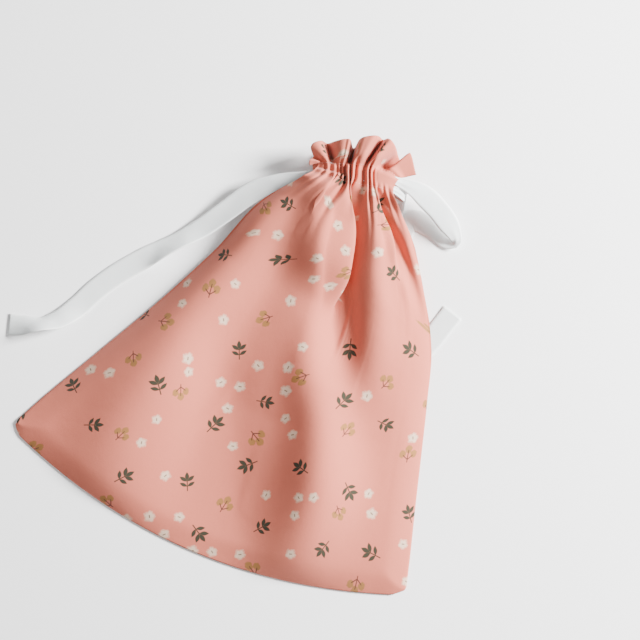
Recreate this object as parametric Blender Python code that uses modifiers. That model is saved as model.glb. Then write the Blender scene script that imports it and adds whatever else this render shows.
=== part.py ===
# Kinchaku drawstring pouch, lying flat on its back and drawn shut.
#
# Two printed cotton panels are sewn together along both sides and the hem. Each panel is one
# sheet: its top is folded down inside and stitched twice, which makes a frill above and a
# casing below it. The side seams stop under the casings, so each side has a vent. Two ribbons
# run through both casings, one with its tails at the left vent and one at the right.
#
# Metres, +Z up. The hem faces -Y, the frill faces +Y, and the back panel lies on z = 0.

import math

import bpy
from mathutils import Vector, geometry

MM = 0.001

# Cloth
CLOTH = 0.6 * MM            # thickness of the cotton sheet
LAYER_PITCH = 1.05 * MM     # spacing of two layers that lie together
SEAM_HALF = 0.65 * MM       # half the spacing of the panels along a seam

# Outline of the body, seen from above
HEM_HALF_WIDTH = 122 * MM   # hem corner to centre line
HEM_CORNER_Y = -103.5 * MM
HEM_BOW = 24.5 * MM         # how far the middle of the hem bulges past its corners
NECK_HALF_WIDTH = 23 * MM
NECK_Y = 95.25 * MM         # lower stitch row of the casings
LEFT_SPREAD = 0.9           # a lower exponent gives a fuller shoulder
RIGHT_SPREAD = 0.55

# Casing and frill
CASING_HEIGHT = 20 * MM
CASING_DEPTH = 5.0 * MM     # outer layer to inner layer, where the ribbons run
CASING_MOUTH = 1.4 * MM     # rise over which the casing opens from its stitch row
FRILL_HEIGHT = 12.5 * MM
FRILL_FLARE = 7 * MM        # how much wider the frill's edge is at each side
FRILL_LIFT = 3 * MM         # how far the front frill stands up
LINING_TAIL = 0.02          # share of the body that the folded-in edge reaches down

# Heights
NECK_MID_Z = 11.75 * MM     # height of the side seams at the neck
VENT_HALF = 6 * MM          # half the spacing of the outer layers at a vent
NECK_ARCH = 2.9 * MM
PLEAT_HEIGHT = 2.5 * MM
PLEAT_COUNT = 7             # pleats across each panel at the neck
NECK_REACH = 0.32           # share of the body over which it flattens out from the neck
VENT_REACH = 0.06           # share of the body over which the vent closes to a seam
PILLOW_HEIGHT = 14 * MM     # how far the front panel stands above the back panel

# Ribbons
RIBBON_THICKNESS = 0.5 * MM
RIBBON_WIDTH = 12.7         # millimetres, as the routes below
THREADED_WIDTH = 7.6        # bunched up inside a casing
RIBBON_STEP = 5 * MM        # spacing of the cross-sections
LIFT_HEIGHT = 1.15 * MM     # how far the body rides up over a ribbon that lies under it
LIFT_INNER = 9 * MM
LIFT_OUTER = 17 * MM

# Mesh density
COLUMNS = 42
BODY_ROWS = 18

# Route of each ribbon in millimetres, from one cut end to the other:
# x, y, z, width and roll about its own direction in degrees.
W = RIBBON_WIDTH
T = THREADED_WIDTH
LEFT_ROUTE = [
    (-152.0, -52.5, 0.5, W, 0), (-143.5, -49.5, 2.6, W, 20), (-134.5, -45.0, 5.4, W, 50),
    (-126.0, -38.0, 3.6, W, 26), (-119.5, -27.0, 0.8, W, 2), (-114.0, -14.0, 0.4, W, 0),
    (-106.5, -1.0, 0.4, W, 0), (-97.0, 12.0, 0.9, W, 4), (-88.0, 23.0, 3.4, W, 24),
    (-80.5, 32.0, 4.2, W, 30), (-72.0, 43.0, 4.0, W, 18), (-62.5, 58.0, 5.8, W, 8),
    (-54.0, 72.0, 9.5, W, 0), (-45.5, 83.0, 13.0, W, 0), (-35.5, 93.0, 15.2, 11.0, 0),
    (-28.0, 99.8, 15.6, 8.2, 0), (-22.0, 101.4, 16.95, T, 0), (-17.0, 101.4, 18.5, T, 0),
    (0.0, 101.4, 19.4, T, 0),
    (17.0, 101.4, 18.5, T, 0), (22.0, 101.4, 16.95, T, 0), (27.5, 101.4, 14.6, T, 0),
    (30.0, 101.4, 11.7, T, 0), (27.5, 101.4, 8.9, T, 0), (22.0, 101.4, 6.7, T, 0),
    (17.0, 101.4, 5.0, T, 0), (0.0, 101.4, 4.1, T, 0), (-17.0, 101.4, 5.0, T, 0),
    (-22.0, 101.4, 6.9, T, 0),
    (-28.0, 99.5, 6.8, 8.0, 0), (-35.5, 91.0, 4.6, 10.5, 0), (-40.5, 79.0, 1.7, W, 0),
    (-41.5, 66.0, 0.5, W, 0), (-38.5, 48.0, 0.35, W, 0), (-33.0, 28.0, 0.35, W, 0),
    (-30.0, 6.0, 0.35, W, 0), (-38.0, -40.0, 0.35, W, 0), (-59.0, -80.0, 0.35, W, 0),
]
RIGHT_ROUTE = [
    (80.0, 55.5, 0.6, W, 0), (77.5, 46.0, 0.4, W, 0), (74.5, 35.0, 0.35, W, 0),
    (69.0, 24.0, 0.35, W, 0), (60.0, 18.0, 0.35, W, 0), (51.5, 23.0, 0.35, W, 0),
    (47.5, 34.0, 0.35, W, 0), (45.0, 52.0, 0.35, W, 0), (40.5, 70.0, 0.35, W, 0),
    (35.5, 83.0, 0.35, W, 0), (37.5, 94.5, 0.5, W, 0), (50.0, 96.0, 0.8, W, 0),
    (61.5, 93.0, 1.0, W, 0), (66.8, 93.4, 3.2, W, 0),
    (65.0, 96.4, 6.0, W, 0), (58.5, 100.5, 7.8, W, 0), (49.0, 105.5, 9.8, W, 0),
    (39.5, 109.0, 12.4, W, 0), (31.5, 110.4, 14.8, 9.5, 0),
    (22.0, 109.8, 16.95, T, 0), (17.0, 109.8, 18.5, T, 0), (0.0, 109.8, 19.4, T, 0),
    (-17.0, 109.8, 18.5, T, 0), (-22.0, 109.8, 16.95, T, 0), (-27.5, 109.8, 14.6, T, 0),
    (-30.0, 109.8, 11.7, T, 0), (-27.5, 109.8, 8.9, T, 0), (-22.0, 109.8, 6.7, T, 0),
    (-17.0, 109.8, 5.0, T, 0), (0.0, 109.8, 4.1, T, 0), (17.0, 109.8, 5.0, T, 0),
    (22.0, 109.8, 7.0, T, 0), (28.5, 108.5, 6.1, 8.0, 0), (34.5, 101.0, 3.8, 9.0, 0),
    (34.0, 90.0, 2.2, 10.5, 0), (28.5, 79.0, 1.35, 12.0, 0), (24.0, 68.0, 0.4, W, 0),
    (20.0, 50.0, 0.35, W, 0), (17.0, 0.0, 0.35, W, 0), (29.0, -76.0, 0.35, W, 0),
]
# The stretches of the routes that the body lies on: first and last point.
LEFT_HIDDEN = (31, 37)
RIGHT_HIDDEN = ((1, 10), (34, 39))


def mix(a, b, share):
    return a + (b - a) * share


def smooth(value, start, end):
    share = min(max((value - start) / (end - start), 0.0), 1.0)
    return share * share * (3 - 2 * share)


def clear_scene():
    for obj in list(bpy.data.objects):
        bpy.data.objects.remove(obj, do_unlink=True)


def make_material(name, colour, roughness):
    material = bpy.data.materials.new(name)
    material.use_nodes = True
    shader = material.node_tree.nodes["Principled BSDF"]
    shader.inputs["Base Color"].default_value = (*colour, 1)
    shader.inputs["Roughness"].default_value = roughness
    shader.inputs["Metallic"].default_value = 0
    material.diffuse_color = (*colour, 1)
    return material


def grid_object(name, columns, rows, place, material, collection):
    """A grid primitive whose vertex in (column, row) is moved to place(column, row)."""
    bpy.ops.mesh.primitive_grid_add(x_subdivisions=columns, y_subdivisions=rows, size=2)
    obj = bpy.context.object
    obj.name = name
    obj.data.name = name
    for vertex in obj.data.vertices:
        column = round((vertex.co.x + 1) / 2 * columns)
        row = round((vertex.co.y + 1) / 2 * rows)
        vertex.co = place(column, row)
    obj.data.materials.append(material)
    obj.data.shade_smooth()
    for old in list(obj.users_collection):
        old.objects.unlink(obj)
    collection.objects.link(obj)
    return obj


def thicken(obj, thickness):
    solidify = obj.modifiers.new("Thickness", "SOLIDIFY")
    solidify.thickness = thickness
    solidify.offset = 0
    solidify.use_even_offset = False


# ---- Ribbons ----

def route_point(route, position):
    """The route's values at a fractional index, on a smooth curve through its points."""
    index = min(int(position), len(route) - 2)
    share = position - index
    near = [route[min(max(index + step, 0), len(route) - 1)] for step in (-1, 0, 1, 2)]
    values = []
    for before, start, end, after in zip(*near):
        leave = (end - before) / 2
        arrive = (after - start) / 2
        values.append(
            start * (2 * share ** 3 - 3 * share ** 2 + 1) + leave * (share ** 3 - 2 * share ** 2 + share)
            + end * (3 * share ** 2 - 2 * share ** 3) + arrive * (share ** 3 - share ** 2))
    return values


def route_samples(route, step):
    """Points of the route every step metres: centre, width and roll."""
    fine = 24
    dense = [route_point(route, i / fine) for i in range((len(route) - 1) * fine + 1)]
    places = [Vector(values[:3]) * MM for values in dense]
    lengths = [0.0]
    for start, end in zip(places, places[1:]):
        lengths.append(lengths[-1] + (end - start).length)
    count = round(lengths[-1] / step)
    samples = []
    index = 0
    for number in range(count + 1):
        target = lengths[-1] * number / count
        while index < len(places) - 2 and lengths[index + 1] < target:
            index += 1
        share = (target - lengths[index]) / (lengths[index + 1] - lengths[index])
        width, roll = (mix(dense[index][k], dense[index + 1][k], share) for k in (3, 4))
        samples.append((places[index].lerp(places[index + 1], share), width * MM, math.radians(roll)))
    return samples


def ribbon_edges(samples):
    """The two edge points of every cross-section; the strip stays level apart from its roll."""
    edges = []
    side = None
    for number, (centre, width, roll) in enumerate(samples):
        ahead = samples[min(number + 1, len(samples) - 1)][0]
        behind = samples[max(number - 1, 0)][0]
        along = (ahead - behind).normalized()
        level = along.cross(Vector((0, 0, 1)))
        if side is None:
            side = level.normalized()
        if level.dot(side) < 0:
            level = -level
        side = (side - along * side.dot(along)).normalized() if level.length < 0.35 else level.normalized()
        up = side.cross(along)
        across = side * math.cos(roll) + up * math.sin(roll)
        edges.append((centre - across * width / 2, centre + across * width / 2))
    return edges


def make_ribbon(name, route, material, collection):
    edges = ribbon_edges(route_samples(route, RIBBON_STEP))

    def place(column, row):
        return edges[column][row]

    ribbon = grid_object(name, len(edges) - 1, 1, place, material, collection)
    thicken(ribbon, RIBBON_THICKNESS)
    return ribbon


# ---- Panels ----

def hidden_lines():
    stretches = [(LEFT_ROUTE, LEFT_HIDDEN)] + [(RIGHT_ROUTE, span) for span in RIGHT_HIDDEN]
    for route, (first, last) in stretches:
        points = [Vector(point[:2]) * MM for point in route[first:last + 1]]
        yield list(zip(points, points[1:]))


def ribbon_lift(x, y, lines):
    """How far the cloth rides up over the ribbons that lie under it."""
    here = Vector((x, y))
    lift = 0.0
    for line in lines:
        distance = LIFT_OUTER
        for start, end in line:
            foot, share = geometry.intersect_point_line(here, start, end)
            foot = start.lerp(end, min(max(share, 0.0), 1.0))
            distance = min(distance, (here - foot).length)
        lift += LIFT_HEIGHT * (1 - smooth(distance, LIFT_INNER, LIFT_OUTER))
    return lift


def panel_rows():
    """Rows of a panel from the hem over the frill's edge to the folded-in edge.

    Each row is (share of the body below the neck, rise above the neck, depth inside the sheet).
    """
    rows = [((1 - i / BODY_ROWS) ** 1.3, 0.0, 0.0) for i in range(BODY_ROWS)]
    casing = [0.0, CASING_MOUTH, 5 * MM, 10 * MM, 15 * MM, CASING_HEIGHT - CASING_MOUTH, CASING_HEIGHT]
    frill = [CASING_HEIGHT + FRILL_HEIGHT * i / 3 for i in (1, 2, 3)]
    rows += [(0.0, rise, 0.0) for rise in casing + frill]
    rows += [(0.0, rise, LAYER_PITCH) for rise in reversed(frill)]
    for rise in reversed(casing):
        opened = CASING_MOUTH / 2 < rise < CASING_HEIGHT - CASING_MOUTH / 2
        rows.append((0.0, rise, CASING_DEPTH if opened else LAYER_PITCH))
    rows.append((LINING_TAIL, 0.0, LAYER_PITCH))
    return rows


def sheet_plan(across, body, rise):
    """Seen from above: x and y of a point, across from -1 at the left edge to 1."""
    left = -mix(NECK_HALF_WIDTH, HEM_HALF_WIDTH, body ** LEFT_SPREAD)
    right = mix(NECK_HALF_WIDTH, HEM_HALF_WIDTH, body ** RIGHT_SPREAD)
    flare = FRILL_FLARE * smooth(rise, CASING_HEIGHT, CASING_HEIGHT + FRILL_HEIGHT)
    x = mix(left, right, (across + 1) / 2) + flare * across
    corner_y = mix(NECK_Y, HEM_CORNER_Y, body)
    y = corner_y - HEM_BOW * body * (1 - across ** 2) + rise
    return x, y


def sheet_height(across, body, rise, depth, x, y, is_front, lines):
    vent = 1 - smooth(body, 0.0, VENT_REACH)
    spread = mix(SEAM_HALF, VENT_HALF, vent)
    pleat = PLEAT_HEIGHT * (1 - math.cos(math.pi * PLEAT_COUNT * (across + 1))) / 2
    outward = mix(spread, VENT_HALF + NECK_ARCH, 1 - across ** 4) + pleat - depth
    frill = smooth(rise, CASING_HEIGHT, CASING_HEIGHT + FRILL_HEIGHT)
    near_neck = 1 - smooth(body, 0.0, NECK_REACH)
    if is_front:
        flat = CLOTH / 2 + 2 * SEAM_HALF + pillow(across, body) - depth
        neck = NECK_MID_Z + outward + FRILL_LIFT * frill
    else:
        flat = CLOTH / 2 + depth
        neck = NECK_MID_Z - outward
    return mix(flat, neck, near_neck) + ribbon_lift(x, y, lines) * smooth(body, 0.0, VENT_REACH)


def pillow(across, body):
    """Height of the front panel over the back panel, nothing along the seams."""
    along = math.sin(math.pi * min(1.0, (1 - body) * 0.75)) ** 1.2
    return PILLOW_HEIGHT * along * (1 - across ** 2)


def make_panel(name, is_front, material, collection):
    rows = panel_rows()
    lines = list(hidden_lines())

    def place(column, row):
        across = 2 * column / COLUMNS - 1
        body, rise, depth = rows[row]
        x, y = sheet_plan(across, body, rise)
        return Vector((x, y, sheet_height(across, body, rise, depth, x, y, is_front, lines)))

    panel = grid_object(name, COLUMNS, len(rows) - 1, place, material, collection)
    thicken(panel, CLOTH)
    return panel


def main():
    clear_scene()
    pouch = bpy.data.collections.new("kinchaku_pouch")
    bpy.context.scene.collection.children.link(pouch)
    cotton = make_material("printed_cotton", (0.75, 0.42, 0.36), 0.85)
    ribbon_white = make_material("ribbon_white", (0.86, 0.87, 0.85), 0.55)
    make_panel("back_panel", False, cotton, pouch)
    make_panel("front_panel", True, cotton, pouch)
    make_ribbon("ribbon_left", LEFT_ROUTE, ribbon_white, pouch)
    make_ribbon("ribbon_right", RIGHT_ROUTE, ribbon_white, pouch)


main()
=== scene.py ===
import math
import random

import bpy
import numpy as np
from mathutils import Matrix, Vector


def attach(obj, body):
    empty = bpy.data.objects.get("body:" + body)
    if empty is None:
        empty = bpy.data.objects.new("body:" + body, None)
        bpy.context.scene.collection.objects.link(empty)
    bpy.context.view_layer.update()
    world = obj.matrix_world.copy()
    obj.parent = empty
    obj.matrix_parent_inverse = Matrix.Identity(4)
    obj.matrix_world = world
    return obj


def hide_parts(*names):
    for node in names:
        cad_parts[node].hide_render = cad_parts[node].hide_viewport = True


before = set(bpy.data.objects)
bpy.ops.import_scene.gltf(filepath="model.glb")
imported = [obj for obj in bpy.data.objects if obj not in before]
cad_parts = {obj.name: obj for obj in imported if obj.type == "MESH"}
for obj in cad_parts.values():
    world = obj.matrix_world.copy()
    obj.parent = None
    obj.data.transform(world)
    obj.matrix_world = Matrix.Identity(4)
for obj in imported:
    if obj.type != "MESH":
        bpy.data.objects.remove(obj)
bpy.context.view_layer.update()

print("frame loaded")

mm = 0.001
neckY = 95.25 * mm  # lower stitch row of the casings


def smoothStep(value, start, end):
    share = np.clip((np.asarray(value, dtype=float) - start) / (end - start), 0, 1)
    return share * share * (3 - 2 * share)


def bump(value, centre, reach):
    return np.exp(-((np.asarray(value, dtype=float) - centre) / reach) ** 2)


def line(at, *stops):
    # a value that runs smoothly through its stops
    xs, ys = (np.array(v, dtype=float) for v in zip(*stops))
    slopes = np.gradient(ys, xs)
    at = np.clip(np.asarray(at, dtype=float), xs[0], xs[-1])
    i = np.clip(np.searchsorted(xs, at, side="right") - 1, 0, len(xs) - 2)
    gap = xs[i + 1] - xs[i]
    q = (at - xs[i]) / gap
    return (ys[i] * (1 + 2 * q) * (1 - q) ** 2 + ys[i + 1] * q * q * (3 - 2 * q)
            + gap * q * (1 - q) * (slopes[i] * (1 - q) - slopes[i + 1] * q))


def gridMesh(name, points, uvs, uvName):
    # points is rows x columns x 3
    rows, columns = points.shape[:2]
    number = np.arange(rows * columns).reshape(rows, columns)
    ring = (number[:-1, :-1], number[:-1, 1:], number[1:, 1:], number[1:, :-1])
    faces = np.stack(ring, axis=-1).reshape(-1, 4)
    mesh = bpy.data.meshes.new(name)
    mesh.from_pydata(points.reshape(-1, 3).tolist(), [], faces.tolist())
    obj = bpy.data.objects.new(name, mesh)
    bpy.context.scene.collection.objects.link(obj)
    layer = mesh.uv_layers.new(name=uvName)
    layer.data.foreach_set("uv", uvs.reshape(-1, 2)[faces.ravel()].ravel())
    mesh.shade_smooth()
    return obj


def applyAll(obj):
    bpy.ops.object.select_all(action="DESELECT")
    obj.select_set(True)
    bpy.context.view_layer.objects.active = obj
    for modifier in list(obj.modifiers):
        bpy.ops.object.modifier_apply(modifier=modifier.name)


def thicken(obj, thickness, offset=-1):
    solid = obj.modifiers.new("thickness", "SOLIDIFY")
    solid.thickness = thickness
    solid.offset = offset
    solid.use_quality_normals = True
    applyAll(obj)


# camera nearly straight above, rolled so the pouch leans to the right
cameraSet = {
    "distance": 1.024,
    "lens": 100,
    "roll": -23.4,
    "elevation": 85,
    "aim": (11.6 * mm, 21.2 * mm, 0),
}
camera = bpy.data.objects.new("camera", bpy.data.cameras.new("camera"))
bpy.context.scene.collection.objects.link(camera)
bpy.context.scene.camera = camera
camera.data.lens = cameraSet["lens"]


def placeCamera():
    aim = Vector(cameraSet["aim"])
    roll = math.radians(cameraSet["roll"])
    lean = math.radians(90 - cameraSet["elevation"])
    up = Vector((math.sin(roll), math.cos(roll), 0))
    back = (Vector((0, 0, 1)) * math.cos(lean) - up * math.sin(lean)).normalized()
    right = up.cross(back).normalized()
    trueUp = back.cross(right)
    turn = Matrix((right, trueUp, back)).transposed()
    camera.matrix_world = Matrix.Translation(aim + back * cameraSet["distance"]) @ turn.to_4x4()


placeCamera()


def mathNode(tree, operation, *values):
    node = tree.nodes.new("ShaderNodeMath")
    node.operation = operation
    for socket, value in zip(node.inputs, values):
        if isinstance(value, (int, float)):
            socket.default_value = value
        else:
            tree.links.new(value, socket)
    return node.outputs[0]


def inside(tree, value, limit, soft=0.14):
    # 1 where value is under limit, with a soft edge
    node = tree.nodes.new("ShaderNodeMapRange")
    tree.links.new(value, node.inputs["Value"])
    ends = {"From Min": limit + soft, "From Max": limit - soft, "To Min": 0, "To Max": 1}
    for name, number in ends.items():
        node.inputs[name].default_value = number
    return node.outputs["Result"]


def mixColour(tree, share, first, second, blend="MIX"):
    node = tree.nodes.new("ShaderNodeMix")
    node.data_type = "RGBA"
    node.blend_type = blend
    for socket, value in zip((node.inputs[0], node.inputs[6], node.inputs[7]), (share, first, second)):
        if isinstance(value, (int, float, tuple)):
            socket.default_value = value
        else:
            tree.links.new(value, socket)
    return node.outputs[2]


def noiseNode(tree, where, scale, detail=3, rough=0.5):
    node = tree.nodes.new("ShaderNodeTexNoise")
    tree.links.new(where, node.inputs["Vector"])
    node.inputs["Scale"].default_value = scale
    node.inputs["Detail"].default_value = detail
    node.inputs["Roughness"].default_value = rough
    return node.outputs["Fac"]


def newGroup(name, inputs, outputs):
    group = bpy.data.node_groups.new(name, "ShaderNodeTree")
    for label, kind in inputs:
        group.interface.new_socket(label, in_out="INPUT", socket_type=kind)
    for label, kind in outputs:
        group.interface.new_socket(label, in_out="OUTPUT", socket_type=kind)
    return group, group.nodes.new("NodeGroupInput"), group.nodes.new("NodeGroupOutput")


def useGroup(tree, group):
    node = tree.nodes.new("ShaderNodeGroup")
    node.node_tree = group
    return node


def splitVector(tree, where):
    node = tree.nodes.new("ShaderNodeSeparateXYZ")
    tree.links.new(where, node.inputs[0])
    return node.outputs


def buildWeave():
    # plain weave: threads over and under one another, Pitch is the spacing in metres
    inputs = (("Cloth", "NodeSocketVector"), ("Pitch", "NodeSocketFloat"))
    outputs = (("Height", "NodeSocketFloat"), ("Shade", "NodeSocketFloat"))
    tree, start, end = newGroup("plainWeave", inputs, outputs)

    def calc(operation, *values):
        return mathNode(tree, operation, *values)

    x, y, z = splitVector(tree, start.outputs["Cloth"])
    turns = [calc("DIVIDE", calc("MULTIPLY", side, math.pi), start.outputs["Pitch"]) for side in (x, y)]
    waves = [calc("ABSOLUTE", calc("SINE", turn)) for turn in turns]
    cross = calc("MULTIPLY", calc("SINE", turns[0]), calc("SINE", turns[1]))
    over = calc("MULTIPLY_ADD", cross, 0.3, calc("MULTIPLY", waves[0], waves[1]))
    slub = noiseNode(tree, start.outputs["Cloth"], 900, 2)
    tree.links.new(calc("MULTIPLY_ADD", slub, 0.6, over), end.inputs["Height"])
    tree.links.new(calc("MULTIPLY_ADD", slub, 0.5, calc("MULTIPLY", over, 0.4)), end.inputs["Shade"])
    return tree


def buildPrint():
    # the scattered print, read from the piece's own "motif" attribute:
    # the place in mm about the nearest motif, and that motif's kind
    names = ("Frond", "Petal", "Heart", "Berry", "Twig")
    tree, start, end = newGroup("scatterPrint", (), [(name, "NodeSocketFloat") for name in names])

    def calc(operation, *values):
        return mathNode(tree, operation, *values)

    def under(value, limit, soft=0.14):
        return inside(tree, value, limit, soft)

    def both(*masks):
        total = masks[0]
        for mask in masks[1:]:
            total = calc("MULTIPLY", total, mask)
        return total

    def either(*masks):
        total = masks[0]
        for mask in masks[1:]:
            total = calc("MAXIMUM", total, mask)
        return total

    def far(across, up):
        return calc("SQRT", calc("ADD", calc("MULTIPLY", across, across), calc("MULTIPLY", up, up)))

    attribute = tree.nodes.new("ShaderNodeAttribute")
    attribute.attribute_name = "motif"
    wobble = noiseNode(tree, attribute.outputs["Vector"], 0.9, 2)
    x, y, kind = splitVector(tree, attribute.outputs["Vector"])
    side = calc("ABSOLUTE", x)
    kinds = [calc("COMPARE", kind, number, 0.4) for number in (1, 2, 3)]

    # frond: a stem with two pairs of leaves and one at its tip
    def leaf(up, turn, length, half):
        c, q = math.cos(math.radians(turn)), math.sin(math.radians(turn))
        raised = calc("SUBTRACT", y, up)
        reach = calc("ADD", calc("MULTIPLY", side, q), calc("MULTIPLY", raised, c))
        off = calc("SUBTRACT", calc("MULTIPLY", side, c), calc("MULTIPLY", raised, q))
        width = calc("MULTIPLY", calc("SINE", calc("MULTIPLY", reach, math.pi / length)), half)
        middle = calc("ABSOLUTE", calc("SUBTRACT", reach, length / 2))
        return both(under(calc("SUBTRACT", calc("ABSOLUTE", off), width), 0, 0.16), under(middle, length / 2))

    stem = both(under(side, 0.27, 0.12), under(calc("ABSOLUTE", calc("ADD", y, 1.2)), 3.6))
    fronds = either(leaf(0.9, 0, 5.0, 1.1), leaf(0.6, 52, 4.9, 1.05), leaf(-2.2, 60, 4.6, 0.95), stem)
    tree.links.new(both(kinds[0], fronds), end.inputs["Frond"])

    # blossom: five round petals and a small dark heart
    turn = calc("MULTIPLY", calc("ARCTAN2", x, y), 5)
    ragged = calc("MULTIPLY_ADD", wobble, 2.2, far(x, y))
    petalEdge = calc("MULTIPLY_ADD", calc("COSINE", turn), -0.32, ragged)
    tree.links.new(both(kinds[1], under(petalEdge, 3.95, 0.75)), end.inputs["Petal"])
    heart = both(under(calc("ABSOLUTE", y), 0.3), under(calc("ABSOLUTE", x), 0.95))
    tree.links.new(both(kinds[1], heart), end.inputs["Heart"])

    # berries on a forked twig
    def berry(across, up, size):
        away = far(calc("SUBTRACT", side, across), calc("MULTIPLY", calc("SUBTRACT", y, up), 0.8))
        return under(calc("ADD", away, wobble), size + 0.5, 0.2)

    tree.links.new(both(kinds[2], either(berry(0, 3.2, 1.75), berry(2.9, 0.6, 1.65))), end.inputs["Berry"])
    trunk = both(under(side, 0.24, 0.1), under(calc("ABSOLUTE", calc("ADD", y, 0.6)), 3.4))
    branch = calc("MULTIPLY_ADD", side, -0.9, calc("ADD", y, 2.4))
    fork = both(under(calc("ABSOLUTE", branch), 0.34, 0.12), under(side, 2.6))
    tree.links.new(both(kinds[2], either(trunk, fork)), end.inputs["Twig"])
    return tree


plainWeave = buildWeave()
scatterPrint = buildPrint()
print("shader groups built")

cottonLook = {
    "ground": (0.575, 0.153, 0.099, 1),
    "groundDeep": (0.53, 0.134, 0.086, 1),
    "frond": (0.032, 0.028, 0.014, 1),
    "petal": (0.62, 0.43, 0.31, 1),
    "heart": (0.13, 0.08, 0.055, 1),
    "berry": (0.30, 0.13, 0.035, 1),
    "twig": (0.085, 0.03, 0.018, 1),
    "pitch": 0.42 * mm,
    "roughness": 0.88,
}
ribbonLook = {
    "ground": (0.84, 0.86, 0.85, 1),
    "shade": (0.72, 0.75, 0.75, 1),
    "selvedge": (0.9, 0.91, 0.9, 1),
    "edge": 5.65 * mm,  # where the selvedge starts, from the middle
    "rib": 0.5 * mm,
    "pitch": 0.3 * mm,
    "roughness": 0.62,
}
threadLook = {"light": (0.80, 0.42, 0.34, 1), "dark": (0.66, 0.28, 0.22, 1), "roughness": 0.7}


def newMaterial(name, roughness):
    material = bpy.data.materials.new(name)
    material.use_nodes = True
    shader = material.node_tree.nodes["Principled BSDF"]
    shader.inputs["Roughness"].default_value = roughness
    shader.inputs["Specular IOR Level"].default_value = 0.3
    return material, material.node_tree, shader


def addBump(tree, shader, height, distance, strength=1.0):
    node = tree.nodes.new("ShaderNodeBump")
    node.inputs["Distance"].default_value = distance
    node.inputs["Strength"].default_value = strength
    tree.links.new(height, node.inputs["Height"])
    tree.links.new(node.outputs["Normal"], shader.inputs["Normal"])


def clothPlace(tree, uvName):
    node = tree.nodes.new("ShaderNodeUVMap")
    node.uv_map = uvName
    return node.outputs["UV"]


def makeCotton():
    material, tree, shader = newMaterial("printedCotton", cottonLook["roughness"])
    shader.inputs["Sheen Weight"].default_value = 0.12
    place = clothPlace(tree, "cloth")
    weave = useGroup(tree, plainWeave)
    tree.links.new(place, weave.inputs["Cloth"])
    weave.inputs["Pitch"].default_value = cottonLook["pitch"]
    printed = useGroup(tree, scatterPrint)
    colour = mixColour(tree, noiseNode(tree, place, 28, 4), cottonLook["ground"], cottonLook["groundDeep"])
    for mark in ("Petal", "Heart", "Berry", "Twig", "Frond"):
        colour = mixColour(tree, printed.outputs[mark], colour, cottonLook[mark.lower()])
    shadeTone = mixColour(tree, weave.outputs["Shade"], (0.93, 0.93, 0.93, 1), (1.04, 1.04, 1.04, 1))
    tree.links.new(mixColour(tree, 1.0, colour, shadeTone, "MULTIPLY"), shader.inputs["Base Color"])
    creases = noiseNode(tree, place, 55, 4, 0.6)
    height = mathNode(tree, "MULTIPLY_ADD", weave.outputs["Height"], 0.12, creases)
    addBump(tree, shader, height, 0.9 * mm, 0.35)
    return material


def makeRibbonCloth():
    material, tree, shader = newMaterial("ribbonWeave", ribbonLook["roughness"])
    shader.inputs["Sheen Weight"].default_value = 0.2
    place = clothPlace(tree, "ribbon")
    x, y, z = splitVector(tree, place)
    rib = mathNode(tree, "SINE", mathNode(tree, "MULTIPLY", y, 2 * math.pi / ribbonLook["rib"]))
    inner = mathNode(tree, "SUBTRACT", ribbonLook["edge"], mathNode(tree, "ABSOLUTE", x))
    selvedge = inside(tree, inner, 0, 0.12 * mm)
    weave = useGroup(tree, plainWeave)
    tree.links.new(place, weave.inputs["Cloth"])
    weave.inputs["Pitch"].default_value = ribbonLook["pitch"]
    colour = mixColour(tree, noiseNode(tree, place, 60, 3), ribbonLook["ground"], ribbonLook["shade"])
    colour = mixColour(tree, selvedge, colour, ribbonLook["selvedge"])
    tree.links.new(colour, shader.inputs["Base Color"])
    height = mathNode(tree, "MULTIPLY_ADD", selvedge, 0.8, weave.outputs["Height"])
    height = mathNode(tree, "MULTIPLY_ADD", rib, 0.25, height)
    addBump(tree, shader, height, 0.1 * mm, 0.5)
    return material


def makeThread():
    material, tree, shader = newMaterial("pinkThread", threadLook["roughness"])
    where = tree.nodes.new("ShaderNodeTexCoord").outputs["Object"]
    twist = noiseNode(tree, where, 2500, 2)
    colour = mixColour(tree, twist, threadLook["light"], threadLook["dark"])
    tree.links.new(colour, shader.inputs["Base Color"])
    addBump(tree, shader, twist, 0.05 * mm, 0.6)
    return material


printedCotton = makeCotton()
ribbonWeave = makeRibbonCloth()
pinkThread = makeThread()
print("materials built")

ribbon = {
    "width": 12.7,  # mm, as the routes below
    "threaded": 4.0,  # bunched up inside a casing
    "thick": 0.32 * mm,
    "step": 1.3 * mm,
    "across": 8,
    "ripple": 0.35 * mm,
    "cup": 0.5 * mm,
    "wave": 0.25 * mm,
    "lowest": 0.22 * mm,
}
w, n = ribbon["width"], ribbon["threaded"]  # wide and narrow
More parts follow.
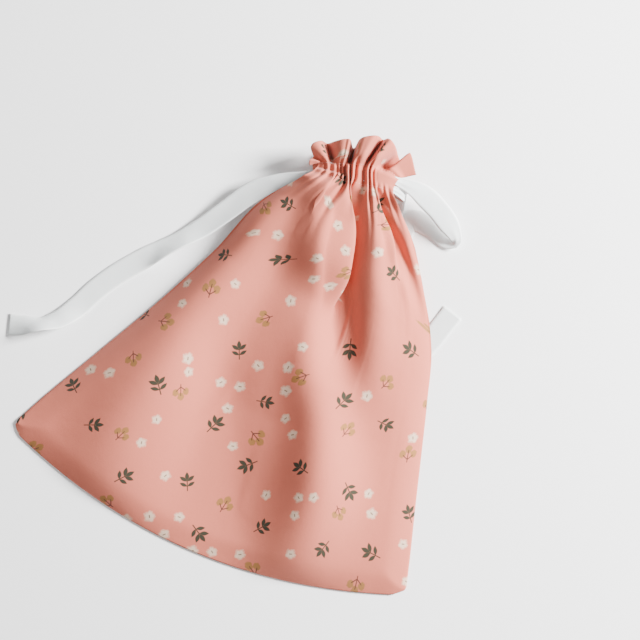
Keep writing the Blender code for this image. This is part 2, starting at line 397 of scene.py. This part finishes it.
# each point is x, y, z in mm, the width there and the roll in degrees
leftRoute = (
    (-152.0, -52.5, 0.5, w, 0), (-143.5, -49.5, 2.6, w, 20), (-134.5, -45.0, 5.4, w, 50),
    (-126.0, -38.0, 3.6, w, 26), (-119.5, -27.0, 0.8, w, 2), (-114.0, -14.0, 0.4, w, 0),
    (-106.5, -1.0, 0.4, w, 0), (-97.0, 12.0, 0.9, w, 4), (-88.0, 23.0, 3.4, w, 24),
    (-80.5, 32.0, 4.2, w, 30), (-72.0, 43.0, 4.0, w, 18), (-62.5, 58.0, 5.8, w, 8),
    (-53.5, 72.5, 7.5, w, 0), (-44.5, 79.8, 9.4, w, 0), (-36.0, 86.0, 11.0, 11.5, 0),
    (-28.5, 92.0, 13.6, 7.0, 0), (-22.0, 97.0, 16.6, n, 0), (-17.0, 98.6, 18.3, n, 0),
    (0.0, 101.8, 19.4, n, 0), (17.0, 104.6, 18.5, n, 0), (22.0, 104.9, 16.95, n, 0),
    (27.0, 104.8, 14.6, 5.5, 0), (29.0, 104.6, 11.7, 5.5, 0), (27.0, 104.6, 8.9, 5.5, 0),
    (22.0, 104.8, 6.7, n, 0), (17.0, 104.5, 5.0, n, 0), (0.0, 101.8, 4.1, n, 0),
    (-17.0, 98.4, 5.0, n, 0), (-22.0, 96.5, 6.9, n, 0), (-28.0, 91.0, 6.8, 6.0, 0),
    (-35.0, 85.0, 4.6, 9.0, 0), (-40.5, 76.0, 1.7, w, 0), (-41.5, 66.0, 0.5, w, 0),
    (-38.5, 48.0, 0.35, w, 0), (-33.0, 28.0, 0.35, w, 0), (-30.0, 6.0, 0.35, w, 0),
    (-38.0, -40.0, 0.35, w, 0), (-61.5, -86.5, 0.35, w, 0),
)
rightRoute = (
    (80.0, 55.5, 0.6, w, 0), (77.5, 46.0, 0.4, w, 0), (74.5, 35.0, 0.35, w, 0),
    (69.0, 24.0, 0.35, w, 0), (60.0, 18.0, 0.35, w, 0), (51.5, 23.0, 0.35, w, 0),
    (47.5, 34.0, 0.35, w, 0), (45.0, 52.0, 0.35, w, 0), (40.5, 70.0, 0.35, w, 0),
    (35.5, 83.0, 0.35, w, 0), (37.0, 95.0, 0.5, w, 0), (49.0, 96.4, 0.8, w, 0),
    (60.0, 93.0, 1.0, 11.0, 0), (65.6, 92.8, 3.0, 6.0, 0), (64.2, 95.8, 5.6, 7.5, 0),
    (58.0, 100.5, 7.6, 12.0, 0), (49.0, 105.5, 9.8, w, 0), (39.5, 109.0, 12.4, w, 0),
    (31.5, 110.4, 14.8, 9.5, 0), (23.0, 110.2, 16.8, 5.5, 0), (17.0, 109.6, 18.5, n, 0),
    (0.0, 106.6, 19.4, n, 0), (-17.0, 102.9, 18.3, n, 0), (-22.0, 101.6, 16.6, n, 0),
    (-23.5, 101.2, 14.2, n, 0), (-24.0, 101.1, 11.7, n, 0), (-23.5, 101.2, 9.2, n, 0),
    (-22.0, 101.6, 7.0, n, 0), (-17.0, 102.9, 5.0, n, 0), (0.0, 106.6, 4.1, n, 0),
    (17.0, 109.5, 5.0, n, 0), (21.0, 109.0, 6.8, n, 0), (25.5, 106.5, 6.1, 6.0, 0),
    (27.0, 99.5, 4.2, 7.0, 0), (28.0, 90.5, 2.6, 9.0, 0), (27.0, 79.0, 1.35, 11.0, 0),
    (24.0, 68.0, 0.4, w, 0), (20.0, 50.0, 0.35, w, 0), (17.0, 0.0, 0.35, w, 0),
    (31.5, -89.0, 0.35, w, 0),
)
leftHidden = leftRoute[31:]
rightHidden = (rightRoute[1:11], rightRoute[34:])


def routeSamples(route):
    # evenly spaced points on a smooth curve through the route: centres, widths and rolls
    points = np.array(route, dtype=float)
    padded = np.vstack([points[:1], points, points[-1:]])
    q = np.linspace(0, 1, 24, endpoint=False)[:, None]
    dense = []
    for before, start, end, after in zip(padded, padded[1:], padded[2:], padded[3:]):
        leave, arrive = (end - before) / 2, (after - start) / 2
        dense.append(start * (2 * q ** 3 - 3 * q ** 2 + 1) + leave * (q ** 3 - 2 * q ** 2 + q)
                     + end * (3 * q ** 2 - 2 * q ** 3) + arrive * (q ** 3 - q ** 2))
    dense = np.vstack(dense + [points[-1:]])
    lengths = np.concatenate([[0], np.cumsum(np.linalg.norm(np.diff(dense[:, :3], axis=0), axis=1))]) * mm
    at = np.linspace(0, lengths[-1], round(lengths[-1] / ribbon["step"]) + 1)
    even = np.stack([np.interp(at, lengths, dense[:, k]) for k in range(5)], axis=1)
    return even[:, :3] * mm, even[:, 3] * mm, np.radians(even[:, 4]), at


def ribbonFrames(centres, rolls):
    # the strip stays level across apart from its roll, and never flips over
    ahead = np.gradient(centres, axis=0)
    side = None
    sides, ups = [], []
    for heading, roll in zip(ahead, rolls):
        heading = heading / np.linalg.norm(heading)
        level = np.cross(heading, (0, 0, 1))
        if side is None:
            side = level / np.linalg.norm(level)
        if level @ side < 0:
            level = -level
        if np.linalg.norm(level) < 0.35:
            side = side - heading * (side @ heading)
        else:
            side = level
        side = side / np.linalg.norm(side)
        up = np.cross(side, heading)
        sides.append(side * math.cos(roll) + up * math.sin(roll))
        ups.append(up * math.cos(roll) - side * math.sin(roll))
    return np.array(sides), np.array(ups)


def makeRibbon(name, node, route, seed):
    centres, widths, rolls, at = routeSamples(route)
    sides, ups = ribbonFrames(centres, rolls)
    share = np.linspace(-0.5, 0.5, ribbon["across"] + 1)
    full = ribbon["width"] * mm
    # bunched stretches ripple across, free stretches cup and wave a little
    bunch = (1 - widths / full)[:, None]
    free = smoothStep(centres[:, 2], 0.9 * mm, 3 * mm)[:, None]
    ripple = bunch * ribbon["ripple"] * np.cos(share * 2 * np.pi * 2)[None, :]
    cup = free * ribbon["cup"] * (1 - (2 * share[None, :]) ** 2) * np.sin(at / 0.031 + seed)[:, None]
    wave = free * ribbon["wave"] * np.sin(at[:, None] / 0.0085 + 3 * share[None, :] + seed)
    points = centres[:, None] + sides[:, None] * (widths[:, None] * share)[..., None]
    points = points + ups[:, None] * (ripple + cup + wave)[..., None]
    points[..., 2] = np.maximum(points[..., 2], ribbon["lowest"])
    uvs = np.stack(np.broadcast_arrays(share[None, :] * full, at[:, None]), axis=-1)
    strip = gridMesh(name, points, uvs, "ribbon")
    thicken(strip, ribbon["thick"], 0)
    strip.data.materials.append(ribbonWeave)
    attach(strip, "root")
    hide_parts(node)
    return strip, centres, at[-1]


leftStrip, leftCentres, leftRun = makeRibbon("left_ribbon", "ribbon_left", leftRoute, 0.4)
rightStrip, rightCentres, rightRun = makeRibbon("right_ribbon", "ribbon_right", rightRoute, 2.1)
print("ribbons made", round(leftRun, 4), round(rightRun, 4))

cloth = {
    "columns": 250,
    "bodyRows": 116,
    "headRows": 34,
    "innerRows": 22,
    "cornerY": -103.5 * mm,
    "bow": 24.5 * mm,
    "cornerRound": 8 * mm,
    "casing": 0.46,  # share of the head that is casing, the rest is frill
    "thick": 0.32 * mm,
    "lowest": 0.3 * mm,  # the back's middle on the table
    "seamMid": 0.62 * mm,  # height of the side seams, rising to neckMid
    "neckMid": 11.3 * mm,
    "seamHalf": 0.33 * mm,  # half the gap between the panels at a seam, opening to ventHalf
    "ventHalf": 6.2 * mm,
    "overRibbon": 0.75 * mm,
    "soften": 4 * mm,
    "length": 225 * mm,
    "flat": (0.25, 0.289),
}
# pleat count and seed of each layer's gathers
gathered = {
    "front": (14, 1.3),
    "frontBroad": (7, 0.4),
    "frontInner": (33, 0.7),
    "back": (17, 2.2),
    "backBroad": (5, 0.9),
    "backHead": (17, 2.6),
    "backInner": (29, 1.9),
}
# the side seams as (body, x in mm)
leftEdge = ((0, -24.5), (0.025, -29.5), (0.05, -34.5), (0.116, -44.7), (0.312, -60.5), (0.503, -77.5),
            (0.704, -98), (0.906, -118.5), (1, -127))
rightEdge = ((0, 20.5), (0.08, 41), (0.196, 62), (0.322, 77), (0.463, 86.5), (0.604, 95), (0.74, 103),
             (0.88, 111.5), (1, 118.5))
# the gathered head seen from above as (t, x, y) in mm: lower stitch row, upper stitch row, the frill's edge
lowRow = ((0, -24.5, 96.5), (0.25, -12, 97.6), (0.5, -1, 99.2), (0.75, 10, 102), (1, 20.5, 103.3))
topRow = ((0, -23.5, 103), (0.2, -16.5, 104), (0.4, -9, 106.5), (0.6, -1, 109.5), (0.75, 5, 111.5),
          (0.88, 11, 112.8), (1, 21, 112.2))
frillEdge = ((0, -28.5, 98.5), (0.035, -29.5, 101.5), (0.06, -28.5, 104), (0.09, -31.5, 107.5),
             (0.17, -28, 114), (0.27, -21, 116.5), (0.36, -13.5, 120.5), (0.42, -10, 120), (0.48, -8, 123),
             (0.57, -1, 127.5), (0.68, 7, 129.5), (0.76, 14, 126.5), (0.82, 18, 123), (0.87, 20, 120),
             (0.91, 20.5, 127.5), (1, 29.5, 118.5))
frillHeight = ((0, 19.5), (0.03, 20.3), (0.06, 17.5), (0.1, 21), (0.17, 20), (0.22, 11), (0.27, 20),
               (0.34, 24), (0.385, 21), (0.41, 7), (0.44, 7), (0.48, 22), (0.54, 27), (0.61, 23), (0.64, 15),
               (0.68, 25), (0.74, 22), (0.78, 10), (0.83, 8), (0.87, 9), (0.91, 17), (0.95, 17), (1, 15))
# the height of the ribbons in the casings, as (distance from the middle, height) in mm
frontRibbonZ = ((0, 19.4), (17, 18.5), (22, 16.9), (30, 15))
backRibbonZ = ((0, 4.1), (17, 5), (22, 6.9), (30, 8.5))


def along(at, stops):
    return np.stack([line(at, *[(s[0], s[k]) for s in stops]) for k in (1, 2)], axis=-1) * mm


def outline(body):
    return line(body, *leftEdge) * mm, line(body, *rightEdge) * mm


def rowPlan(t, body):
    # a row seen from above, t runs 0 to 1 from the left seam, body 0 at the neck to 1 at the hem
    left, right = outline(body)
    x = left + (right - left) * t
    y = neckY + (cloth["cornerY"] - neckY) * body - cloth["bow"] * body ** 1.2 * (1 - (2 * t - 1) ** 2)
    y = y - 2 * mm * (1 - t) * smoothStep(body, 0.4, 1)
    low = along(t, lowRow)
    y = y + (low[..., 1] - neckY) * (1 - smoothStep(body, 0, 0.22))
    x = x + (low[..., 0] - x) * (1 - smoothStep(body, 0, 0.045))
    # rounded hem corners
    side = np.where(t < 0.5, 1, -1)
    edge = np.where(t < 0.5, left, right)
    p = np.clip(1 - np.abs(x - edge) / cloth["cornerRound"], 0, 1)
    q = np.clip(1 - (y - (cloth["cornerY"] - 1 * mm)) / cloth["cornerRound"], 0, 1)
    x = x + side * cloth["cornerRound"] * p * (1 - np.sqrt(1 - q * q / 2))
    y = y + cloth["cornerRound"] * q * (1 - np.sqrt(1 - p * p / 2)) * (p > 0)
    return x, y


def headPlan(t, share, edge):
    low, top, rim = along(t, lowRow), along(t, topRow), along(t, edge)
    casing = cloth["casing"]
    if share < casing:
        return low + (top - low) * share / casing
    return top + (rim - top) * (share - casing) / (1 - casing)


def seamHeight(body, side):
    # the side seams rise towards the neck and open there into the vents
    middle = cloth["seamMid"] + (cloth["neckMid"] - cloth["seamMid"]) * (1 - smoothStep(body, 0, 0.32))
    half = cloth["seamHalf"] + (cloth["ventHalf"] - cloth["seamHalf"]) * (1 - smoothStep(body, 0, 0.1))
    return middle + side * half


def pleats(t, count, seed):
    # uneven gathers, 0 in the creases to 1 on the crests
    warp = t + 0.019 * np.sin(2 * np.pi * 2.3 * t + seed) + 0.009 * np.sin(2 * np.pi * 5.1 * t + 2 * seed)
    wave = 0.5 + 0.5 * np.cos(2 * np.pi * count * warp)
    return wave ** 0.8 * (0.7 + 0.3 * np.sin(2 * np.pi * 3.7 * t + 3 * seed))


def rideUp(x, y):
    # how far the cloth rides up over the ribbons that lie under it
    lift = np.zeros_like(x)
    for stretch in (leftHidden,) + rightHidden:
        away = np.full_like(x, 1.0)
        for start, end in zip(stretch, stretch[1:]):
            a, b = (np.array(p[:2]) * mm for p in (start, end))
            share = np.clip(((x - a[0]) * (b - a)[0] + (y - a[1]) * (b - a)[1]) / ((b - a) @ (b - a)), 0, 1)
            away = np.minimum(away, np.hypot(x - a[0] - share * (b - a)[0], y - a[1] - share * (b - a)[1]))
        lift = lift + cloth["overRibbon"] * (1 - smoothStep(away, 7 * mm, 13 * mm))
    return lift


# laps of the back's gathers: line as (body, t), reach in mm, depth and lift in mm as (body, value)
backLaps = [
    {"at": ((0, 0.1), (0.5, 0.13), (1, 0.18)),
     "reach": 6,
     "depth": ((0.1, 0), (0.24, 9), (0.5, 9), (0.8, 0)),
     "lift": ((0.08, 0), (0.2, 2), (0.55, 2), (0.82, 0))},
    {"at": ((0, 0.22), (0.45, 0.23), (1, 0.25)),
     "reach": 5.5,
     "depth": ((0.14, 0), (0.26, 7), (0.4, 6), (0.55, 0)),
     "lift": ((0.1, 0), (0.2, 2), (0.4, 2), (0.58, 0))},
    {"at": ((0, 0.7), (0.3, 0.71), (1, 0.66)),
     "reach": 6,
     "depth": ((0.1, 0), (0.24, 9), (0.55, 9), (0.85, 0)),
     "lift": ((0.08, 0), (0.2, 2), (0.6, 2), (0.87, 0))},
    {"at": ((0, 0.84), (0.5, 0.86), (1, 0.88)),
     "reach": 6,
     "depth": ((0.14, 0), (0.28, 8), (0.5, 8), (0.8, 0)),
     "lift": ((0.1, 0), (0.22, 2), (0.55, 2), (0.82, 0))},
]


def lapOver(x, z, centre, lap, body):
    # an S fold, the raised layer on the left
    reach = lap["reach"] * mm
    q = np.clip((x - centre) / reach, -1, 1)
    settle = np.exp(-np.maximum(0, (centre - x) / reach - 1) ** 2 / 6)
    raised = line(body, *lap["lift"]) * mm * (1 - smoothStep(q, -0.5, 0.5)) * settle
    return x + line(body, *lap["depth"]) * mm * np.sin(np.pi * (q + 1)), z + raised


def backBody(t, body):
    x, y = rowPlan(t, body)
    left, right = outline(body)
    inner = np.minimum(x - left, right - x).clip(0)
    rest = cloth["lowest"] + 1.6 * mm * (1 - smoothStep(body, 0, 0.1))
    seam = seamHeight(body, -1)
    z = rest + (seam - rest) * np.exp(-inner / (line(body, (0, 5), (0.3, 9), (1, 6)) * mm))
    fine = np.exp(-(body / 0.2) ** 1.5) * smoothStep(inner, 0, 6 * mm)
    broad = bump(body, 0.2, 0.14) * smoothStep(inner, 0, 14 * mm)
    z = z + pleats(t, *gathered["back"]) * 7 * mm * fine
    z = z + pleats(t, *gathered["backBroad"]) * 1.2 * mm * broad
    z = z + rideUp(x, y) * smoothStep(body, 0, 0.06)
    for lap in backLaps:
        x, z = lapOver(x, z, left + (right - left) * line(body, *lap["at"]), lap, body)
    return np.stack([x, y, z], axis=-1)


# ridges and valleys of the front: line as (body, t), height and half width in mm as (body, value)
frontFolds = [
    {"at": ((0, 0.06), (0.14, 0.07), (0.39, 0.13), (0.61, 0.165), (0.79, 0.18), (1, 0.24)),
     "high": ((0, 1), (0.12, 5), (0.3, 8.5), (0.7, 12.5), (1, 3)),
     "half": ((0, 12), (0.15, 18), (0.3, 26), (0.6, 26), (1, 32))},
    {"at": ((0, 0.2), (0.3, 0.27), (0.51, 0.28), (0.65, 0.37), (0.79, 0.45), (1, 0.52)),
     "high": ((0, 0), (0.2, -1), (0.4, -3), (0.65, -7), (0.85, -6), (1, -1)),
     "half": ((0, 5), (0.3, 13), (0.6, 20), (1, 30))},
    {"at": ((0, 0.33), (0.1, 0.36), (0.2, 0.42), (0.3, 0.455), (0.42, 0.49), (0.57, 0.55)),
     "high": ((0, 3), (0.12, 6.5), (0.25, 7), (0.42, 5.5), (0.62, 0)),
     "half": ((0, 7), (0.12, 11), (0.25, 13), (0.6, 15)),
     "lean": 1.9},
    {"at": ((0, 0.52), (0.1, 0.54), (0.2, 0.565), (0.3, 0.605), (0.4, 0.65), (0.5, 0.7)),
     "high": ((0, -2), (0.08, -8), (0.2, -13), (0.33, -10), (0.5, 0)),
     "half": ((0, 2.5), (0.15, 4), (0.3, 7.5), (0.5, 13))},
    {"at": ((0, 0.66), (0.07, 0.68), (0.135, 0.715), (0.23, 0.745), (0.5, 0.8)),
     "high": ((0, 3), (0.1, 6.5), (0.25, 8), (0.6, 0)),
     "half": ((0, 4), (0.2, 11.5), (0.5, 18))},
    {"at": ((0, 0.8), (0.045, 0.82), (0.1, 0.875), (0.185, 0.95), (0.3, 0.97)),
     "high": ((0, -2), (0.06, -6), (0.2, -4), (0.3, 0)),
     "half": ((0, 2), (0.1, 4), (0.3, 5))},
    {"at": ((0.35, 0.54), (0.47, 0.6), (0.6, 0.68), (0.74, 0.73), (1, 0.735)),
     "high": ((0.3, 0), (0.5, 9), (0.75, 14.5), (0.9, 10), (1, 3.5)),
     "half": ((0.4, 14), (0.7, 21), (1, 24))},
]
# where cloth on the left laps over cloth on the right, as above
frontLaps = [
    {"at": ((0, 0.47), (0.09, 0.52), (0.185, 0.53), (0.26, 0.555), (0.35, 0.58)),
     "reach": 7,
     "depth": ((0, 1), (0.05, 6), (0.12, 11), (0.2, 12), (0.33, 0), (0.4, 0)),
     "lift": ((0, 1), (0.08, 5), (0.2, 6.5), (0.33, 0), (0.4, 0))},
    {"at": ((0, 0.74), (0.05, 0.79), (0.1, 0.83), (0.19, 0.88)),
     "reach": 4,
     "depth": ((0, 0.5), (0.04, 3), (0.1, 4), (0.17, 0), (0.25, 0)),
     "lift": ((0, 0.5), (0.06, 2.5), (0.12, 2.5), (0.18, 0), (0.25, 0))},
    {"at": ((0, 0.29), (0.05, 0.29), (0.11, 0.3), (0.16, 0.3)),
     "reach": 3.5,
     "depth": ((0, 0.5), (0.03, 3), (0.07, 3), (0.12, 0), (0.2, 0)),
     "lift": ((0, 0.5), (0.03, 2), (0.07, 2), (0.12, 0), (0.2, 0))},
]


def frontBody(t, body):
    x, y = rowPlan(t, body)
    under = backBody(t, body)[..., 2]
    # away from the seams the back counts as high as its neighbours
    seamDrop = 9 * mm * (1 - smoothStep(t * (1 - t), 0, 0.08))
    around = [np.roll(under, shift) - seamDrop for shift in range(-12, 13, 3)]
    under = np.max([under] + around, axis=0)
    left, right = outline(body)
    inner = np.minimum(np.minimum(x - left, right - x).clip(0), (1 - body) * cloth["length"])
    seam = seamHeight(body, 1)
    rise = 1 - np.exp(-inner / (line(body, (0, 3), (0.3, 6), (1, 6)) * mm))
    z = seam + rise * line(body, (0, 2), (0.15, 6), (0.5, 6), (1, 2.5)) * mm
    for fold in frontFolds:
        centre = left + (right - left) * line(body, *fold["at"])
        half = line(body, *fold["half"]) * mm * np.where(x < centre, fold.get("lean", 1), 1)
        z = z + rise * line(body, *fold["high"]) * mm * bump(x, centre, half)
    fine = np.exp(-(body / 0.055) ** 1.3) * (0.2 + 0.9 * bump(t, 0.52, 0.2))
    broad = bump(body, 0.07, 0.06) * (0.2 + 0.8 * smoothStep(t, 0.2, 0.4))
    z = z + pleats(t, *gathered["front"]) * 4.5 * mm * fine * rise
    z = z + pleats(t, *gathered["frontBroad"]) * 2.6 * mm * broad * rise
    # the front never sinks into the back, and eases onto it
    gap = z - under - 2 * cloth["seamHalf"]
    soften = cloth["soften"] * smoothStep(inner, 0, 14 * mm) * smoothStep(body, 0, 0.2)
    z = under + 2 * cloth["seamHalf"] + 0.5 * (gap + np.sqrt(gap ** 2 + soften ** 2))
    for lap in frontLaps:
        centre = left + (right - left) * line(body, *lap["at"])
        x, z = lapOver(x, z, centre, lap, body)
    return np.stack([x, y, z], axis=-1)


def frontHead(t, share, layer=0):
    # layer 0 is the outside, 1 the folded-in inside
    casing = cloth["casing"]
    plan = headPlan(t, share, frillEdge)
    strand = line(np.abs(plan[:, 0]) / mm, *frontRibbonZ) * mm
    toFrill = smoothStep(share, casing * 0.9, casing + 0.22)
    plain = smoothStep(t, 0.72, 0.82)
    if layer:
        depth = 7.2 * mm * np.sin(np.pi * t) ** 0.6
        gathers = strand - 1.1 * mm - pleats(t, *gathered["frontInner"]) * depth
    else:
        bunched = (0.3 + 0.8 * bump(t, 0.5, 0.2)) * (1 - plain * smoothStep(share, 0, 0.15))
        shoulder = (1 - smoothStep(t, 0.28, 0.42)) * (1 - smoothStep(share, 0.1, 0.24))
        gathers = strand + 0.9 * mm + pleats(t, *gathered["front"]) * 5.2 * mm * bunched
        stitched = (0.5 + 2.2 * plain) * mm * bump(share, casing, 0.06)
        gathers = gathers + plain * 1.5 * mm + shoulder * 3.4 * mm - stitched
    z = gathers * (1 - toFrill) + (line(t, *frillHeight) - 0.75 * layer) * mm * toFrill
    return np.concatenate([plan, z[:, None]], axis=-1)


backFrillEdge = ((0, -26.5, 98.5), (0.08, -28.5, 104), (0.17, -26, 111), (0.3, -18, 115.5),
                 (0.45, -9, 120), (0.6, 0, 126), (0.7, 7, 127.5), (0.8, 14, 123.5), (0.9, 19, 119),
                 (1, 24, 112))
backFrillHeight = ((0, 4.5), (0.1, 1.5), (0.2, 5.5), (0.32, 1.5), (0.42, 6), (0.52, 1.5), (0.63, 5),
                   (0.75, 1.5), (0.86, 5.5), (0.94, 2), (1, 4))


def backHead(t, share, layer=0):
    casing = cloth["casing"]
    plan = headPlan(t, share, backFrillEdge)
    strand = line(np.abs(plan[:, 0]) / mm, *backRibbonZ) * mm
    toFrill = smoothStep(share, casing * 0.9, casing + 0.22)
    if layer:
        depth = 6.2 * mm * np.sin(np.pi * t) ** 0.7
        gathers = strand + 1.0 * mm + pleats(t, *gathered["backInner"]) * depth
    else:
        gathers = strand - 0.8 * mm - pleats(t, *gathered["backHead"]) * 3.2 * mm
    z = gathers * (1 - toFrill) + (line(t, *backFrillHeight) + 0.75 * layer) * mm * toFrill
    return np.concatenate([plan, np.maximum(z, cloth["lowest"])[:, None]], axis=-1)


def panelGrid(bodyShape, headShape):
    # rows from the hem to the frill's edge, then back down inside to the lower stitch row
    t = np.linspace(0, 1, cloth["columns"] + 1)
    count, head, inner = cloth["bodyRows"], cloth["headRows"], cloth["innerRows"]
    rows = [bodyShape(t, (1 - (row / count) ** 1.3) ** 1.35) for row in range(count + 1)]
    rows += [headShape(t, row / head) for row in range(1, head + 1)]
    rows += [headShape(t, 1 - row / inner, 1) for row in range(inner + 1)]
    grid = np.array(rows)
    # the body's last rows ease into the head's height
    step = headShape(t, 0.0)[:, 2] - grid[count, :, 2]
    ease = smoothStep(np.arange(count + 1), count - 20, count)
    grid[:count + 1, :, 2] += ease[:, None] * step[None, :]
    # the gathers bend over the stitch rows without a kink
    rim = count + head
    for sweep in range(40):
        bent = grid[count - 14:rim - 3, :, :2]
        bent[1:-1] = 0.25 * bent[:-2] + 0.5 * bent[1:-1] + 0.25 * bent[2:]
    # the frill's edge is a rounded fold
    grid[rim:rim + 2, :, 2] = grid[rim:rim + 2, :, 2] * 0.7 + grid[rim:rim + 2, :, 2].mean(axis=0) * 0.3
    return grid


def clothUv(grid):
    # distances on the cloth: along each row from its middle, and up the columns past the neck
    steps = np.linalg.norm(np.diff(grid, axis=1), axis=2)
    across = np.concatenate([np.zeros((grid.shape[0], 1)), np.cumsum(steps, axis=1)], axis=1)
    across = across - across[:, [grid.shape[1] // 2]]
    neck = cloth["bodyRows"]
    up = grid[..., 1].copy()
    steps = np.linalg.norm(np.diff(grid[neck:], axis=0), axis=2)
    up[neck + 1:] = up[neck] + np.cumsum(steps, axis=0)
    return np.stack([across, up], axis=-1)


# kind number, room in mm, and square mm of cloth for each motif
motifKinds = {"frond": (1, 6.6, 1500), "berries": (3, 6.0, 2000), "blossom": (2, 3.7, 830)}
motifSizes = (1.0, 1.22)
blossomSize = 0.84


def scatterMotifs(seed, low, high):
    # place (m), room, turn, size and kind of every motif
    dice = random.Random(seed)
    placed = []
    area = (high[0] - low[0]) * (high[1] - low[1])
    for kind, room, each in motifKinds.values():
        wanted = round(area / (each * mm * mm))
        for tries in range(wanted * 60):
            spot = (dice.uniform(low[0], high[0]), dice.uniform(low[1], high[1]))
            near = [(math.dist(spot, other[0]) / (room * mm + other[1]), other[4]) for other in placed]
            # like motifs keep further apart, except the blossoms
            if all(gap > (1.02 if dice.random() < 0.5 else 1.3) * (2.1 if kind == other and kind != 2 else 1)
                   for gap, other in near):
                size = dice.uniform(*motifSizes) * (blossomSize if kind == 2 else 1)
                placed.append((spot, room * mm, dice.uniform(0, 2 * math.pi), size, kind))
                wanted -= 1
            if not wanted:
                break
    return placed


def printMotifs(obj, uvs, seed):
    # every face holds its place about the nearest motif, in mm, and that motif's kind
    mesh = obj.data
    motifs = scatterMotifs(seed, uvs.reshape(-1, 2).min(axis=0), uvs.reshape(-1, 2).max(axis=0))
    spots = np.array([m[0] for m in motifs])
    corners = np.zeros(len(mesh.loops) * 2)
    mesh.uv_layers["cloth"].data.foreach_get("uv", corners)
    corners = corners.reshape(-1, 4, 2)
    middles = corners.mean(axis=1)
    away = np.linalg.norm(middles[:, None, :] - spots[None, :, :], axis=2)
    near = (away / np.array([m[1] for m in motifs])).argmin(axis=1)
    turns, sizes, kinds = (np.array([m[k] for m in motifs])[near] for k in (2, 3, 4))
    offset = (corners - spots[near][:, None, :]) / mm / sizes[:, None, None]
    c, s = np.cos(turns)[:, None], np.sin(turns)[:, None]
    values = np.stack([offset[..., 0] * c + offset[..., 1] * s, offset[..., 1] * c - offset[..., 0] * s,
                       np.broadcast_to(kinds[:, None], offset.shape[:2])], axis=-1)
    attribute = mesh.attributes.new("motif", "FLOAT_VECTOR", "CORNER")
    attribute.data.foreach_set("vector", values.astype(np.float32).ravel())


def makePanel(name, node, grid, seed):
    uvs = clothUv(grid)
    panel = gridMesh(name, grid, uvs, "cloth")
    printMotifs(panel, uvs, seed)
    thicken(panel, cloth["thick"])
    panel.data.materials.append(printedCotton)
    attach(panel, "root")
    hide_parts(node)
    return panel


front = panelGrid(frontBody, frontHead)
back = panelGrid(backBody, backHead)
frontPanel = makePanel("front_cloth", "front_panel", front, 5)
backPanel = makePanel("back_cloth", "back_panel", back[:, ::-1], 8)
areas = [sum(face.area for face in panel.data.polygons) / 2 for panel in (frontPanel, backPanel)]
print("panels made, square metres of cloth", [round(area, 4) for area in areas])

stitch = {"count": 46, "length": 0.62, "thread": 0.13 * mm, "proud": 0.1 * mm}


def makeStitches(name, grid, rowNumbers, outward):
    # short threads along the stitch rows, each dipping into the cloth at both ends
    curve = bpy.data.curves.new(name, "CURVE")
    curve.dimensions = "3D"
    curve.bevel_depth = stitch["thread"]
    curve.bevel_resolution = 1
    curve.use_fill_caps = True
    for number in rowNumbers:
        row = grid[number]
        run = np.concatenate([[0], np.cumsum(np.linalg.norm(np.diff(row, axis=0), axis=1))])
        for k in range(stitch["count"]):
            shares = (k + 0.5 + stitch["length"] * np.array([-0.5, -0.2, 0.2, 0.5])) / stitch["count"]
            points = np.stack([np.interp(shares * run[-1], run, row[:, axis]) for axis in range(3)], axis=1)
            points[:, 2] += outward * np.array([-0.5, 1, 1, -0.5]) * stitch["proud"]
            spline = curve.splines.new("POLY")
            spline.points.add(3)
            for place, point in zip(spline.points, points):
                place.co = (*point, 1)
    threads = bpy.data.objects.new(name, curve)
    bpy.context.scene.collection.objects.link(threads)
    bpy.ops.object.select_all(action="DESELECT")
    threads.select_set(True)
    bpy.context.view_layer.objects.active = threads
    bpy.ops.object.convert(target="MESH")
    threads.data.materials.append(pinkThread)
    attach(threads, "root")
    return threads


casingTop = cloth["bodyRows"] + round(cloth["headRows"] * cloth["casing"])
makeStitches("front_stitches", front, (cloth["bodyRows"], casingTop), 1)
makeStitches("back_stitches", back, (cloth["bodyRows"], casingTop), -1)
print("stitches made")

studio = {
    "floor": (0.97, 0.97, 0.97, 1),
    "floorSize": 6,
    "air": 0.53,
    "key": ((0.88, 0.72, 0.62), 0.4, 104),  # place, size and power
    "fill": ((-0.6, -0.6, 1.4), 1.6, 3),
}
bpy.ops.object.select_all(action="DESELECT")
bpy.ops.mesh.primitive_plane_add(size=studio["floorSize"], location=(0, 0, 0))
floor = bpy.context.object
floor.name = "floor"
floorPaint, floorTree, floorShader = newMaterial("floorPaint", 0.8)
floorShader.inputs["Base Color"].default_value = studio["floor"]
floor.data.materials.append(floorPaint)


def areaLight(name, place, size, power, aim=(0, 0, 0)):
    light = bpy.data.objects.new(name, bpy.data.lights.new(name, "AREA"))
    light.data.size = size
    light.data.energy = power
    light.location = place
    light.rotation_euler = (Vector(aim) - Vector(place)).to_track_quat("-Z", "Y").to_euler()
    bpy.context.scene.collection.objects.link(light)


for lamp in ("key", "fill"):
    areaLight(lamp, *studio[lamp])
air = bpy.data.worlds.new("studioAir")
air.use_nodes = True
air.node_tree.nodes["Background"].inputs["Color"].default_value = (1, 1, 1, 1)
air.node_tree.nodes["Background"].inputs["Strength"].default_value = studio["air"]
bpy.context.scene.world = air
print("stage set")
